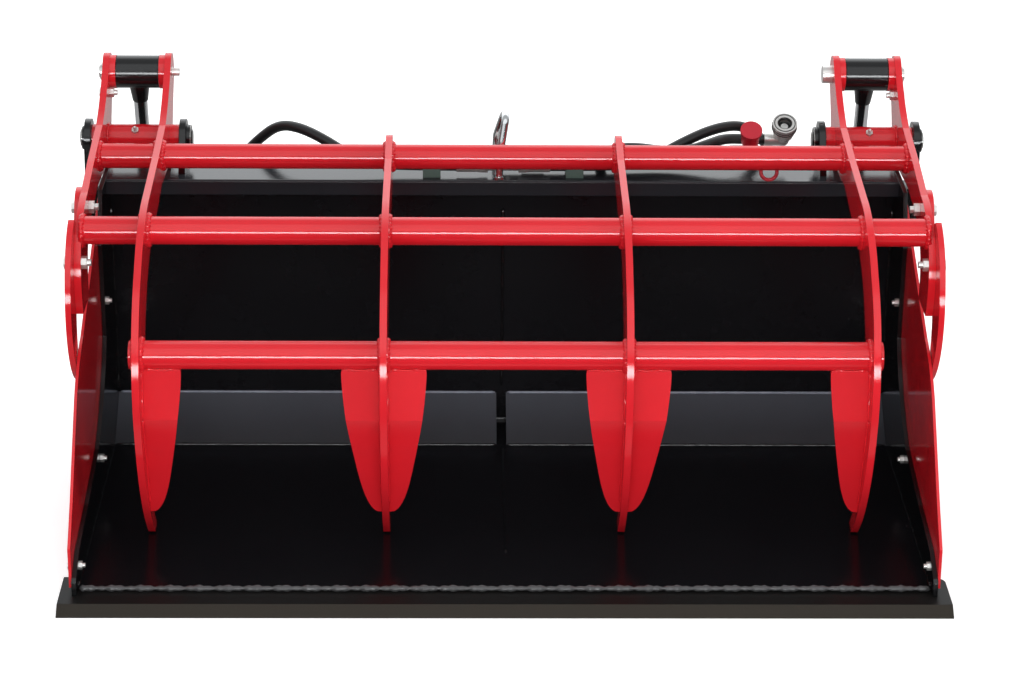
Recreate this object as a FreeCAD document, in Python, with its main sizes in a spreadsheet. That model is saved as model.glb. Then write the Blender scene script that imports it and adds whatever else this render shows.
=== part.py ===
"""Silage grab bucket for a compact loader, 1.5 m wide, in millimetres.

X runs to the right seen from the front, Y runs back from the front of the cutting edge
and Z runs up from the ground. The origin is on the ground, on the centre plane, at the
front of the cutting edge. The grapple is drawn closed, with its tine tips just above the floor.
"""
import FreeCAD
import Part
import math
import os

import Sketcher
from FreeCAD import Placement, Rotation, Vector

LEFT, RIGHT = -1, 1
SIDES = {"left": LEFT, "right": RIGHT}

doc = FreeCAD.newDocument("silage_grab_bucket")
sheet = doc.addObject("Spreadsheet::Sheet", "Sizes")

# Driving dimensions. Each is written once here, and every piece below takes its sizes from them.
DIMENSIONS = {
    # Cutting edge and the sheets of the bucket
    "blade_width": 1500, "blade_depth": 119, "blade_thick": 16, "blade_bevel": 20, "blade_corner": 18,
    "blade_lead": 72, "sheet_thick": 6, "inner_half": 720, "wall_face": 753,
    "corner_rise": 63, "corner_run": 102, "corner_thick": 5, "corner_gap": 18, "bend_radius": 12,
    "beam_depth": 69, "beam_tall": 30, "beam_top": 530, "beam_wall": 4,
    "skid_wide": 60, "skid_inner_place": 250, "skid_outer_place": "=inner_half - 120",
    # Side plates and the bolted side panels
    "side_thick": 8, "panel_thick": 5, "side_front": 48,
    # Grapple pivot, top pin and cylinder foot
    "pivot_back": 785, "pivot_up": 578, "eye_back": 860, "eye_up": 681,
    "foot_back": 985, "foot_up": 240,
    "ear_thick": 12, "ear_radius": 35, "ear_low": 396,
    "inner_ear_place": "=inner_half - 141", "outer_ear_place": "=inner_half + 32",
    "bush_outer": 50, "pivot_pin": 30, "pin_fit": 0.05, "side_fit": 1,
    # Grapple plates
    "tine_pitch": "=(inner_half - 105) / 1.5", "tine_thick": 12, "lever_thick": 12,
    "lever_place": "=inner_half + 2", "lever_low": 416,
    "crescent_thick": 10, "hub_radius": 42, "head_radius": 35, "nose_radius": 39,
    "upper_tube": 44.5, "middle_tube": 48.3, "lower_tube": 48.3, "tube_wall": 4,
    "upper_back": 645, "upper_up": 591, "middle_back": 362, "middle_up": 554,
    "lower_back": 178, "lower_up": 401, "tube_stub": 9,
    "wing_thick": 8, "wing_wide": 65, "boss_outer": 62, "boss_long": 11,
    # Cylinders
    "barrel_outer": 60, "barrel_bore": 50, "barrel_long": 286, "gland_long": 34,
    "rod_diameter": 25, "piston_long": 30, "eye_outer": 60, "eye_bore": 38, "top_pin": 22,
    "neck_outer": 39, "neck_root": 29, "neck_long": 38, "foot_pin": 25, "foot_eye_wide": 62, "foot_eye_outer": 56,
    "lug_thick": 10, "lug_radius": 32, "port_outer": 22, "port_reach": 70,
    # Loader hitch behind the back wall
    "hitch_half": 260, "hitch_thick": 15, "hook_bar": 40, "hook_back": 850, "hook_up": 396,
    "waist_back": 822, "waist_low": 250, "waist_high": 316,
    "lock_bore": 32, "lock_back": 880, "lock_up": 110,
    # Hoses and what holds them
    "hose_outer": 19, "hose_lift": 18, "ferrule_outer": 23, "tee_reach": 85,
    "front_line": 722, "rear_line": 749,
    "low_tee_place": 175, "low_tee_up": 462, "low_line": 780, "clamp_place": 130, "ring_rod": 14,
    "female_place": "=inner_half - 204", "male_place": "=inner_half - 269", "coupling_outer": 45, "cap_outer": 40,
}
for row, (name, value) in enumerate(DIMENSIONS.items(), start=1):
    sheet.set(f"A{row}", name)
    sheet.set(f"B{row}", str(value))
    sheet.setAlias(f"B{row}", name)
doc.recompute()


def size(name):
    """Read one driving dimension from the sheet."""
    return float(sheet.get(name))


def plane_of(body, role):
    """Find one of a body's own origin planes by its role."""
    return next(item for item in body.Origin.OriginFeatures if item.Role == role)


def sketch_in(body, role, name):
    """Make a sketch on one of a body's origin planes."""
    sketch = body.newObject("Sketcher::SketchObject", name)
    sketch.AttachmentSupport = [(plane_of(body, role), "")]
    sketch.MapMode = "FlatFace"
    return sketch


def draw(sketch, outline):
    """Draw a closed outline of points; a point given as a pair (bulge, end) is reached by an arc."""
    start = outline[0]
    for step in outline[1:] + [start]:
        if len(step) == 2 and isinstance(step[0], tuple):
            bulge, end = step
            arc = Part.Arc(Vector(*start, 0), Vector(*bulge, 0), Vector(*end, 0))
            sketch.addGeometry(arc, False)
            start = end
        elif step != start:
            sketch.addGeometry(Part.LineSegment(Vector(*start, 0), Vector(*step, 0)), False)
            start = step


def drill(sketch, centre, diameter):
    """Draw a hole whose radius follows an expression on the sheet."""
    index = sketch.addGeometry(Part.Circle(Vector(*centre, 0), Vector(0, 0, 1), 10), False)
    rule = sketch.addConstraint(Sketcher.Constraint("Radius", index, 10.0))
    sketch.setExpression(f"Constraints[{rule}]", f"({diameter}) / 2")


def profile_body(label, outline, thick, start, holes=()):
    """Pad an outline in the YZ plane along X: a plate, or a folded sheet seen from its end."""
    body = doc.addObject("PartDesign::Body", label)
    body.Label = label
    sketch = sketch_in(body, "YZ_Plane", label + "_outline")
    draw(sketch, outline)
    for centre, diameter in holes:
        drill(sketch, centre, diameter)
    pad = body.newObject("PartDesign::Pad", label + "_pad")
    pad.Profile = sketch
    pad.setExpression("Length", thick)
    sketch.Visibility = False
    body.setExpression("Placement.Base.x", start)
    return body


def start_of(side, inner, thick):
    """Expression for where a plate starts along X, given its inner face and its thickness."""
    return inner if side == RIGHT else f"-(({inner}) + ({thick}))"


def round_bar(label, diameter, length, start, back, up):
    """A round bar along X as a parametric cylinder."""
    bar = doc.addObject("Part::Cylinder", label)
    bar.setExpression("Radius", f"({diameter}) / 2")
    bar.setExpression("Height", length)
    bar.Placement = Placement(Vector(0, 0, 0), Rotation(Vector(0, 1, 0), 90))
    bar.setExpression("Placement.Base.x", start)
    bar.setExpression("Placement.Base.y", back)
    bar.setExpression("Placement.Base.z", up)
    return bar


def round_tube(label, outer, inner, length, start, back, up):
    """A round tube along X, cut from two cylinders."""
    tube = doc.addObject("Part::Cut", label)
    tube.Base = round_bar(label + "_outside", outer, length, start, back, up)
    tube.Tool = round_bar(label + "_inside", inner, length, start, back, up)
    return tube


def joined(label, pieces):
    """Weld several shapes into one named piece."""
    fuse = doc.addObject("Part::MultiFuse", label)
    fuse.Shapes = pieces
    fuse.Refine = True
    return fuse


def grouped(label, members):
    """Hold several separate solids in one named piece."""
    group = doc.addObject("Part::Compound", label)
    group.Links = members
    return group


def feature(label, shape):
    """Keep a shape that is worked out below as a named piece."""
    piece = doc.addObject("Part::Feature", label)
    piece.Shape = shape
    return piece


def rod_x(radius, x_from, x_to, back, up):
    """A solid round bar along X as a plain shape."""
    return Part.makeCylinder(radius, x_to - x_from, Vector(x_from, back, up), Vector(1, 0, 0))


def hexagon_x(across_flats, length, x_from, back, up):
    """A hexagon head or nut along X."""
    corner = across_flats / math.sqrt(3)
    points = [Vector(x_from, back + corner * math.cos(math.radians(60 * k)),
                     up + corner * math.sin(math.radians(60 * k))) for k in range(6)]
    face = Part.Face(Part.makePolygon(points + points[:1]))
    return face.extrude(Vector(length, 0, 0))


def swept(path_points, radius, bends):
    """A round bar along straight runs joined by tangent arcs, one bend radius per inner point."""
    edges = []
    at = path_points[0]
    for index in range(1, len(path_points) - 1):
        corner, after = path_points[index], path_points[index + 1]
        way_in = (corner - at).normalize()
        way_out = (after - corner).normalize()
        turn = way_in.getAngle(way_out)
        trim = bends[index - 1] * math.tan(turn / 2)
        arc_from = corner - way_in * trim
        arc_to = corner + way_out * trim
        middle = (way_out - way_in).normalize()
        reach = bends[index - 1] / math.cos(turn / 2) - bends[index - 1]
        edges.append(Part.LineSegment(at, arc_from).toShape())
        edges.append(Part.Arc(arc_from, corner + middle * reach, arc_to).toShape())
        at = arc_to
    edges.append(Part.LineSegment(at, path_points[-1]).toShape())
    wire = Part.Wire(edges)
    direction = path_points[1] - path_points[0]
    section = Part.Wire(Part.makeCircle(radius, path_points[0], direction))
    return wire.makePipeShell([section], True, False)


pieces = []


def keep(piece, node):
    """Give a finished piece its name and put it on the list to be written."""
    piece.Label = node
    pieces.append(piece)
    return piece


floor_top = size("blade_thick") + size("sheet_thick")
wall_face = size("wall_face")
wall_back = wall_face + size("sheet_thick")
beam_low = size("beam_top") - size("beam_tall")
pivot = (size("pivot_back"), size("pivot_up"))
eye = (size("eye_back"), size("eye_up"))
foot = (size("foot_back"), size("foot_up"))
upper_tube = (size("upper_back"), size("upper_up"))
middle_tube = (size("middle_back"), size("middle_up"))
lower_tube = (size("lower_back"), size("lower_up"))


def on_circle(centre, radius, degrees):
    """A point on a circle in the YZ plane."""
    angle = math.radians(degrees)
    return (centre[0] + radius * math.cos(angle), centre[1] + radius * math.sin(angle))


def make_cutting_edge():
    """Flat wear blade with its bevel facing up and forward and its right rear corner rounded."""
    deep, thick = size("blade_depth"), size("blade_thick")
    nose = 2
    outline = [(0, 0), (deep, 0), (deep, thick), (size("blade_bevel"), thick), (0, nose)]
    body = profile_body("cutting_edge_flat", outline, "Sizes.blade_width", "-Sizes.blade_width / 2")
    doc.recompute()
    blade = doc.addObject("Part::Fillet", "cutting_edge")
    blade.Base = body
    blade.Edges = [(index, size("blade_corner"), size("blade_corner"))
                   for index, edge in enumerate(body.Shape.Edges, start=1)
                   if edge.Length < thick + 1 and edge.CenterOfMass.x > 0
                   and edge.CenterOfMass.y > deep - 1]
    keep(blade, "cutting_edge")


def make_shell():
    """Floor and back wall, folded from one sheet with a rounded corner."""
    low, thick, bend = size("blade_thick"), size("sheet_thick"), size("bend_radius")
    outer = bend + thick
    slant = math.sqrt(0.5)
    outline = [
        (size("blade_lead"), low), (wall_back - outer, low),
        ((wall_back - outer + outer * slant, low + outer - outer * slant), (wall_back, low + outer)),
        (wall_back, beam_low), (wall_face, beam_low), (wall_face, floor_top + bend),
        ((wall_face - bend + bend * slant, floor_top + bend - bend * slant),
         (wall_face - bend, floor_top)),
        (size("blade_lead"), floor_top)]
    body = profile_body("bucket_shell", outline, "2 * Sizes.inner_half", "-Sizes.inner_half")
    keep(body, "bucket_shell")


def make_corner_sheets():
    """Two sloping sheets that fill the corner of floor and back wall, with a slot between them."""
    rise, run, thick = size("corner_rise"), size("corner_run"), size("corner_thick")
    slope = math.atan2(rise, run)
    outline = [(wall_face - run, floor_top), (wall_face - run + thick / math.sin(slope), floor_top),
               (wall_face, floor_top + rise - thick / math.cos(slope)), (wall_face, floor_top + rise)]
    sheets = []
    for name, side in SIDES.items():
        start = start_of(side, "Sizes.corner_gap / 2", "Sizes.inner_half - Sizes.corner_gap / 2")
        sheets.append(profile_body(f"corner_sheet_{name}", outline,
                                   "Sizes.inner_half - Sizes.corner_gap / 2", start))
    keep(grouped("corner_sheets", sheets), "corner_sheets")


def make_top_beam():
    """Rectangular hollow beam along the top of the back wall."""
    low, high = beam_low, size("beam_top")
    front, back, wall = wall_back - size("beam_depth"), wall_back, size("beam_wall")
    beam = doc.addObject("Part::Cut", "top_beam_hollow")
    for attribute, inset in (("Base", 0), ("Tool", wall)):
        box = doc.addObject("Part::Box", f"top_beam_{attribute}")
        box.setExpression("Length", "2 * Sizes.inner_half")
        box.setExpression("Width", f"Sizes.beam_depth - {2 * inset}")
        box.setExpression("Height", f"Sizes.beam_tall - {2 * inset}")
        box.Placement = Placement(Vector(-size("inner_half"), front + inset, low + inset), Rotation())
        setattr(beam, attribute, box)
    edges = doc.addObject("Part::Fillet", "top_beam")
    edges.Base = beam
    doc.recompute()
    outside = [index for index, edge in enumerate(beam.Shape.Edges, start=1)
               if edge.Length > size("inner_half")
               and min(abs(edge.CenterOfMass.y - front), abs(edge.CenterOfMass.y - back)) < 0.1]
    edges.Edges = [(index, wall, wall) for index in outside]
    keep(edges, "top_beam")


def make_skids():
    """Wear strips under the floor, level with the underside of the cutting edge."""
    strips = []
    wide = size("skid_wide")
    for place in (size("skid_inner_place"), size("skid_outer_place")):
        for side in SIDES.values():
            corner = Vector(side * place - wide / 2, size("blade_depth") + 5, 0)
            length = wall_face - size("blade_depth") - 25
            strip = Part.makeBox(wide, length, size("blade_thick"), corner)
            edge = [item for item in strip.Edges
                    if item.CenterOfMass.z < 0.1 and item.CenterOfMass.y > wall_face - 25]
            strips.append(strip.makeChamfer(8, edge))
    keep(feature("wear_skids", Part.makeCompound(strips)), "wear_skids")


def make_side_plates():
    """Welded side plates, low at the front and swept up to the top beam in a hollow curve."""
    front = size("side_front")
    back_root = pivot[0] + 18
    outline = [
        (front, size("blade_thick")), (wall_back + 6, size("blade_thick")),
        (wall_back + 6, 350), (back_root, 392), (back_root, size("beam_top") - 12),
        (back_root - 12, size("beam_top")), (634, size("beam_top")), (599, 437), (605, 258),
        ((520, 168), (423, 116)), (253, 89), (109, 73), (front + 6, 47), (front, 40)]
    holes = [(place, "8.6") for place in panel_bolt_places()]
    for name, side in SIDES.items():
        start = start_of(side, "Sizes.inner_half", "Sizes.side_thick")
        label = f"side_plate_{name}"
        keep(profile_body(label, outline, "Sizes.side_thick", start, holes), label)


def panel_bolt_places():
    """Where the three small bolts hold each side panel to its side plate."""
    return [(92, 52), (440, 91), (614, 325)]


def make_side_panels():
    """Bolted side panels that reach forward of the side plates, up to the grapple's lever plates."""
    low = floor_top + 6
    outline = [(56, low), (655, low), (668, low + 20), (668, 504), (350, 364),
               ((284, 338), (231, 297)), (112, 156), (57, 99)]
    for name, side in SIDES.items():
        inner = "Sizes.inner_half + Sizes.side_thick"
        start = start_of(side, inner, "Sizes.panel_thick")
        label = f"side_panel_{name}"
        keep(profile_body(label, outline, "Sizes.panel_thick", start,
                          [(place, "8.6") for place in panel_bolt_places()]), label)


def bolt_set(side, back, up, near, far, thread):
    """Bolt with its head outboard and its nut inboard of a stack of plates from near to far."""
    head, nut, tail = 0.65 * thread, 0.8 * thread, 0.6 * thread
    flats = 1.6 * thread
    shapes = [hexagon_x(flats, head, far, back, up),
              rod_x(thread / 2, near - nut - tail, far, back, up),
              hexagon_x(flats, nut, near - nut, back, up)]
    bolt = shapes[0].multiFuse(shapes[1:])
    if side == LEFT:
        bolt = bolt.mirror(Vector(0, 0, 0), Vector(1, 0, 0))
    return bolt


def make_panel_bolts():
    """Small zinc bolts of the side panels, with their nuts inside the bucket."""
    near = size("inner_half")
    far = near + size("side_thick") + size("panel_thick")
    bolts = [bolt_set(side, *place, near, far, 8)
             for side in SIDES.values() for place in panel_bolt_places()]
    keep(feature("panel_bolts", Part.makeCompound(bolts)), "panel_bolts")


def make_ears():
    """Inner and outer ears that carry the pivot pins of the grapple."""
    radius = size("ear_radius")
    seat, low = size("beam_top"), size("ear_low")
    inner_outline = [
        (pivot[0] - 66, seat), (wall_back, seat), (wall_back, low), (wall_back + 26, low),
        on_circle(pivot, radius, -12), (on_circle(pivot, radius, 70), on_circle(pivot, radius, 152))]
    outer_outline = [
        (pivot[0] - 48, low + 12), (pivot[0] + 12, low), on_circle(pivot, radius, -12),
        (on_circle(pivot, radius, 84), on_circle(pivot, radius, 184))]
    spacer_outline = [(pivot[0] - 42, low + 14), (pivot[0] + 8, low + 2), (pivot[0] + 8, low + 102),
                      (pivot[0] - 42, low + 102)]
    hole = "Sizes.pivot_pin"
    inner_ears, outer_ears = [], []
    for name, side in SIDES.items():
        inner = profile_body(f"inner_ear_{name}", inner_outline, "Sizes.ear_thick",
                             start_of(side, "Sizes.inner_ear_place", "Sizes.ear_thick"),
                             [(pivot, hole)])
        inner_ears.append(inner)
        plate = profile_body(f"outer_ear_plate_{name}", outer_outline, "Sizes.ear_thick",
                             start_of(side, "Sizes.outer_ear_place", "Sizes.ear_thick"),
                             [(pivot, hole)])
        reach = "Sizes.outer_ear_place - Sizes.inner_half - Sizes.side_thick"
        spacer = profile_body(f"outer_ear_spacer_{name}", spacer_outline, reach,
                              start_of(side, "Sizes.inner_half + Sizes.side_thick", reach))
        outer_ears.append(joined(f"outer_ear_{name}", [plate, spacer]))
    keep(grouped("inner_ears", inner_ears), "inner_ears")
    keep(grouped("outer_ears", outer_ears), "outer_ears")


def tine_front():
    """Front edge of a tine from its tip up to the shoulder, shared by all four tines."""
    return [(277, floor_top + 3), ((171, 152), (118, 300)), ((134, 436), (214, 532)),
            ((290, 582), (392, 604)), (560, 616)]


def tine_back():
    """Rear edge of a tine from below the shoulder down to its tip."""
    return [(430, 524), ((292, 470), (214, 330)), ((226, 150), (305, floor_top + 8))]


def tube_holes():
    """The three cross tubes where they pass a tine."""
    return [(upper_tube, "Sizes.upper_tube"), (middle_tube, "Sizes.middle_tube"),
            (lower_tube, "Sizes.lower_tube")]


def arm_top():
    """Upper edge of an outer tine or lever plate, over the pivot and round the top pin."""
    return [(700, 630), ((772, 660), on_circle(eye, size("head_radius"), 118)),
            (on_circle(eye, size("head_radius"), 45), on_circle(eye, size("head_radius"), -38))]


def arm_bottom():
    """Lower edge behind and below the pivot."""
    return [(on_circle(pivot, 62, 22), on_circle(pivot, size("hub_radius"), -20)),
            (on_circle(pivot, size("hub_radius"), -80), on_circle(pivot, size("hub_radius"), -118)),
            (600, 552)]


def make_tines():
    """Two outer tines that run up to the top pins and two inner tines that end round the top tube."""
    nose = size("nose_radius")
    inner_outline = tine_front() + [
        on_circle(upper_tube, nose, 100),
        (on_circle(upper_tube, nose, 0), on_circle(upper_tube, nose, -95)), (560, 545)] + tine_back()
    outer_outline = tine_front() + arm_top() + arm_bottom() + tine_back()
    for name, side in SIDES.items():
        inner = "Sizes.tine_pitch / 2 - Sizes.tine_thick / 2"
        label = f"inner_tine_{name}"
        keep(profile_body(label, inner_outline, "Sizes.tine_thick",
                          start_of(side, inner, "Sizes.tine_thick"), tube_holes()), label)
        outer = "Sizes.tine_pitch * 1.5 - Sizes.tine_thick / 2"
        plate = profile_body(f"outer_tine_plate_{name}", outer_outline, "Sizes.tine_thick",
                             start_of(side, outer, "Sizes.tine_thick"),
                             tube_holes() + [(pivot, "Sizes.bush_outer"), (eye, "Sizes.top_pin")])
        boss_from = "Sizes.tine_pitch * 1.5 + Sizes.tine_thick / 2"
        boss = round_tube(f"outer_tine_boss_{name}", "Sizes.boss_outer", "Sizes.top_pin",
                          "Sizes.boss_long", start_of(side, boss_from, "Sizes.boss_long"),
                          "Sizes.eye_back", "Sizes.eye_up")
        keep(joined(f"outer_tine_{name}", [plate, boss]), f"outer_tine_{name}")


def crescent_bolt_places():
    """Where the two large bolts hold each crescent to its lever plate."""
    return [(459, 561), (328, 508)]


def lock_bolt_place():
    """Where the lock bolt of a top pin passes the lever plate."""
    return (eye[0] - 32, eye[1] - 30)


def make_lever_plates():
    """Outermost plates of the grapple, from the top pins to their flat lower ends."""
    end = size("lever_low")
    outline = [
        (322, end), ((312, 480), (344, 552)), ((392, 578), (452, 590)), (560, 611)]
    outline += arm_top() + arm_bottom() + [(500, 538), ((430, 508), (408, end))]
    holes = [(pivot, "Sizes.bush_outer"), (eye, "Sizes.top_pin")]
    holes += [(place, "12.6") for place in crescent_bolt_places()]
    holes += [(lock_bolt_place(), "10.4")]
    for name, side in SIDES.items():
        start = start_of(side, "Sizes.lever_place", "Sizes.lever_thick")
        plate = profile_body(f"lever_plate_sheet_{name}", outline, "Sizes.lever_thick", start, holes)
        boss = round_tube(f"lever_boss_{name}", "Sizes.boss_outer", "Sizes.top_pin", "Sizes.boss_long",
                          start_of(side, "Sizes.lever_place - Sizes.boss_long", "Sizes.boss_long"),
                          "Sizes.eye_back", "Sizes.eye_up")
        keep(joined(f"lever_plate_{name}", [plate, boss]), f"lever_plate_{name}")


def make_crescents():
    """Bolted crescents that guard the gap between lever plate and side panel."""
    outline = [
        (346, 284), ((259, 392), (268, 498)), ((300, 548), (350, 577)), (414, 540), (436, 576),
        ((462, 592), (490, 586)), ((502, 572), (496, 548)), ((400, 518), (345, 470)),
        ((321, 400), (324, 340))]
    holes = [(place, "12.6") for place in crescent_bolt_places()]
    for name, side in SIDES.items():
        start = start_of(side, "Sizes.lever_place + Sizes.lever_thick", "Sizes.crescent_thick")
        label = f"crescent_{name}"
        keep(profile_body(label, outline, "Sizes.crescent_thick", start, holes), label)


def make_crescent_bolts():
    """Large zinc bolts of the crescents, with nut and thread end inboard."""
    near = size("lever_place")
    far = near + size("lever_thick") + size("crescent_thick")
    bolts = [bolt_set(side, *place, near, far, 12)
             for side in SIDES.values() for place in crescent_bolt_places()]
    keep(feature("crescent_bolts", Part.makeCompound(bolts)), "crescent_bolts")


def make_cross_tubes():
    """Three round tubes that tie the tines and lever plates together."""
    wall = 2 * size("tube_wall")
    reach = "Sizes.lever_place"
    stub = "Sizes.tine_pitch * 1.5 + Sizes.tine_thick / 2 + Sizes.tube_stub"
    for name, half in (("upper", reach), ("middle", reach), ("lower", stub)):
        node = f"{name}_cross_tube"
        tube = round_tube(node, f"Sizes.{name}_tube", f"Sizes.{name}_tube - {wall}",
                          f"2 * ({half})", f"-({half})", f"Sizes.{name}_back", f"Sizes.{name}_up")
        keep(tube, node)


def wing_shape(x_root, direction):
    """One bent tooth wing: a folded strip trimmed to the tapered outline seen from the front."""
    thick, wide = size("wing_thick"), size("wing_wide")
    top = (lower_tube[0] - 14, lower_tube[1] - size("lower_tube") / 2 + 2)
    bend, end = (152, 293), (222, 86)
    strip = [top, bend, end, (end[0] + thick, end[1] + 2), (bend[0] + thick, bend[1] + 1),
             (top[0] + thick, top[1])]
    face = Part.Face(Part.makePolygon([Vector(0, *point) for point in strip + strip[:1]]))
    strip_solid = face.extrude(Vector(wide, 0, 0))
    front = [(0, 420), (wide, 420), (wide, 322), (wide - 3, 279), (wide - 8, 236), (wide - 14, 170),
             (wide - 21, 132), (wide - 28, 106), (wide - 39, 93), (10, 86), (0, 84)]
    mask_face = Part.Face(Part.makePolygon([Vector(x, 0, z) for x, z in front + front[:1]]))
    shape = strip_solid.common(mask_face.extrude(Vector(0, 500, 0)))
    shape = shape.cut(rod_x(size("lower_tube") / 2, -5, wide + 5, *lower_tube))
    if direction < 0:
        shape = shape.mirror(Vector(0, 0, 0), Vector(1, 0, 0))
    shape.translate(Vector(x_root, 0, 0))
    return shape.Solids[0]


def make_wings():
    """Flat wings that widen each tine below the lower tube."""
    half = size("tine_thick") / 2
    wings = []
    for side in SIDES.values():
        centre = side * size("tine_pitch") / 2
        pair = [wing_shape(centre + half, 1), wing_shape(centre - half, -1)]
        outer = side * size("tine_pitch") * 1.5
        wings += pair + [wing_shape(outer - side * half, -side)]
    keep(feature("tine_wings", Part.makeCompound(wings)), "tine_wings")


def make_pivots():
    """Bush tubes of the grapple, their grease nipples and the pins that they turn on."""
    gap = "Sizes.side_fit"
    start = f"Sizes.inner_ear_place + Sizes.ear_thick + {gap}"
    length = f"Sizes.outer_ear_place - {gap} - ({start})"
    pins = []
    for name, side in SIDES.items():
        bush = round_tube(f"pivot_bush_{name}", "Sizes.bush_outer", "Sizes.pivot_pin + 2 * Sizes.pin_fit",
                          length, start_of(side, start, length), "Sizes.pivot_back", "Sizes.pivot_up")
        keep(bush, f"pivot_bush_{name}")
        x_from = size("inner_ear_place")
        x_to = size("outer_ear_place") + size("ear_thick")
        radius = size("pivot_pin") / 2
        pin = rod_x(radius, x_from - 10, x_to + 8, *pivot)
        flange = rod_x(24, x_from - 8, x_from, *pivot)
        cap = rod_x(21, x_to, x_to + 6, *pivot)
        pin = pin.multiFuse([flange, cap])
        if side == LEFT:
            pin = pin.mirror(Vector(0, 0, 0), Vector(1, 0, 0))
        pins.append(pin)
    keep(feature("pivot_pins", Part.makeCompound(pins)), "pivot_pins")
    middle = (size("tine_pitch") * 1.5 + size("lever_place")) / 2 + 3
    nipples = []
    lean = Vector(0, -math.sin(math.radians(40)), math.cos(math.radians(40)))
    for side in SIDES.values():
        seat = Vector(side * middle, *pivot) + lean * (size("bush_outer") / 2 - 1)
        base = Part.makeCylinder(4.2, 4, seat, lean)
        tip = Part.makeCone(3.2, 1.8, 6, seat + lean * 4, lean)
        nipples.append(base.fuse(tip).cut(rod_x(size("bush_outer") / 2, -size("outer_ear_place"),
                                                size("outer_ear_place"), *pivot)))
    keep(feature("grease_nipples", Part.makeCompound(nipples)), "grease_nipples")


def make_top_pins():
    """Top pins with lock bolts below them; the right one has a big head inboard, the left a small end."""
    near = size("tine_pitch") * 1.5 - size("tine_thick") / 2
    far = size("lever_place") + size("lever_thick")
    pins, locks = [], []
    for side in SIDES.values():
        pin = rod_x(size("top_pin") / 2, near, far + 9, *eye)
        head = rod_x(15, far, far + 7, *eye)
        inner_end = rod_x(16.5, near - 18, near, *eye) if side == RIGHT else rod_x(7.5, near - 13, near, *eye)
        pin = pin.multiFuse([head, inner_end])
        lock = bolt_set(RIGHT, *lock_bolt_place(), size("lever_place"), far, 10)
        if side == LEFT:
            pin = pin.mirror(Vector(0, 0, 0), Vector(1, 0, 0))
            lock = lock.mirror(Vector(0, 0, 0), Vector(1, 0, 0))
        pins.append(pin)
        locks.append(lock)
    keep(feature("top_pins", Part.makeCompound(pins)), "top_pins")
    keep(feature("top_pin_locks", Part.makeCompound(locks)), "top_pin_locks")


cylinder_centre = (size("tine_pitch") * 1.5 + size("tine_thick") / 2 + size("lever_place")) / 2
cylinder_way = Vector(0, eye[0] - foot[0], eye[1] - foot[1])
cylinder_length = cylinder_way.Length
cylinder_way.normalize()


def on_cylinder(side, distance):
    """A point on a cylinder's axis, measured from its foot pin."""
    return Vector(side * cylinder_centre, *foot) + cylinder_way * distance


def port_distances():
    """How far the two hose ports of a barrel lie from its foot pin."""
    return size("foot_eye_outer") / 2 + 46, size("barrel_long") - size("gland_long") - 12


def port_end(side, distance):
    """Where a hose meets the ferrule of a port."""
    return on_cylinder(side, distance) - Vector(side * size("port_reach"), 0, 0)


def make_cylinders():
    """Barrel with foot eye and ports, gland, and the rod with its piston and cross tube eye."""
    barrel_from = size("foot_eye_outer") / 2 - 4
    barrel_to = size("barrel_long")
    gland_to = barrel_to + 8
    eye_half = (size("lever_place") - 2 * size("boss_long")
                - size("tine_pitch") * 1.5 - size("tine_thick") / 2) / 2 - size("side_fit")
    for name, side in SIDES.items():
        at = side * cylinder_centre
        foot_half = size("foot_eye_wide") / 2
        body = Part.makeCylinder(size("barrel_outer") / 2, barrel_to - barrel_from,
                                 on_cylinder(side, barrel_from), cylinder_way)
        lug = rod_x(size("foot_eye_outer") / 2, at - foot_half, at + foot_half, *foot)
        ports = [Part.makeCylinder(size("port_outer") / 2, size("port_reach"),
                                   on_cylinder(side, reach), Vector(-side, 0, 0))
                 for reach in port_distances()]
        body = body.multiFuse([lug] + ports)
        bore = Part.makeCylinder(size("barrel_bore") / 2, barrel_to, on_cylinder(side, barrel_from + 30),
                                 cylinder_way)
        pin_hole = rod_x(size("foot_pin") / 2 + size("pin_fit"), at - 60, at + 60, *foot)
        keep(feature(f"barrel_{name}", body.cut(bore).cut(pin_hole)), f"barrel_{name}")
        sleeve = Part.makeCylinder(size("barrel_bore") / 2, size("gland_long"),
                                   on_cylinder(side, barrel_to - size("gland_long")), cylinder_way)
        cap = Part.makeCylinder(size("barrel_outer") / 2, gland_to - barrel_to,
                                on_cylinder(side, barrel_to), cylinder_way)
        passage = Part.makeCylinder(size("rod_diameter") / 2 + size("pin_fit"), size("gland_long") + 40,
                                    on_cylinder(side, barrel_to - size("gland_long") - 10), cylinder_way)
        keep(feature(f"gland_{name}", sleeve.fuse(cap).cut(passage)), f"gland_{name}")
        piston_at = barrel_to - size("gland_long") - size("piston_long") - 14
        rod = Part.makeCylinder(size("rod_diameter") / 2,
                                cylinder_length - piston_at - size("eye_outer") / 2 + 4,
                                on_cylinder(side, piston_at), cylinder_way)
        neck_from = cylinder_length - size("eye_outer") / 2 - size("neck_long") + 8
        neck = Part.makeCone(size("neck_root") / 2, size("neck_outer") / 2, size("neck_long"),
                             on_cylinder(side, neck_from), cylinder_way)
        cross = rod_x(size("eye_outer") / 2, at - eye_half, at + eye_half, *eye)
        hole = rod_x(size("eye_bore") / 2, at - eye_half - 1, at + eye_half + 1, *eye)
        keep(feature(f"rod_{name}", rod.cut(cross)), f"rod_{name}")
        keep(feature(f"rod_eye_{name}", neck.cut(rod).fuse(cross).cut(hole)), f"rod_eye_{name}")
        piston = Part.makeCylinder(size("barrel_bore") / 2 - size("pin_fit"), size("piston_long"),
                                   on_cylinder(side, piston_at), cylinder_way)
        keep(feature(f"piston_{name}", piston.cut(rod)), f"piston_{name}")


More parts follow.
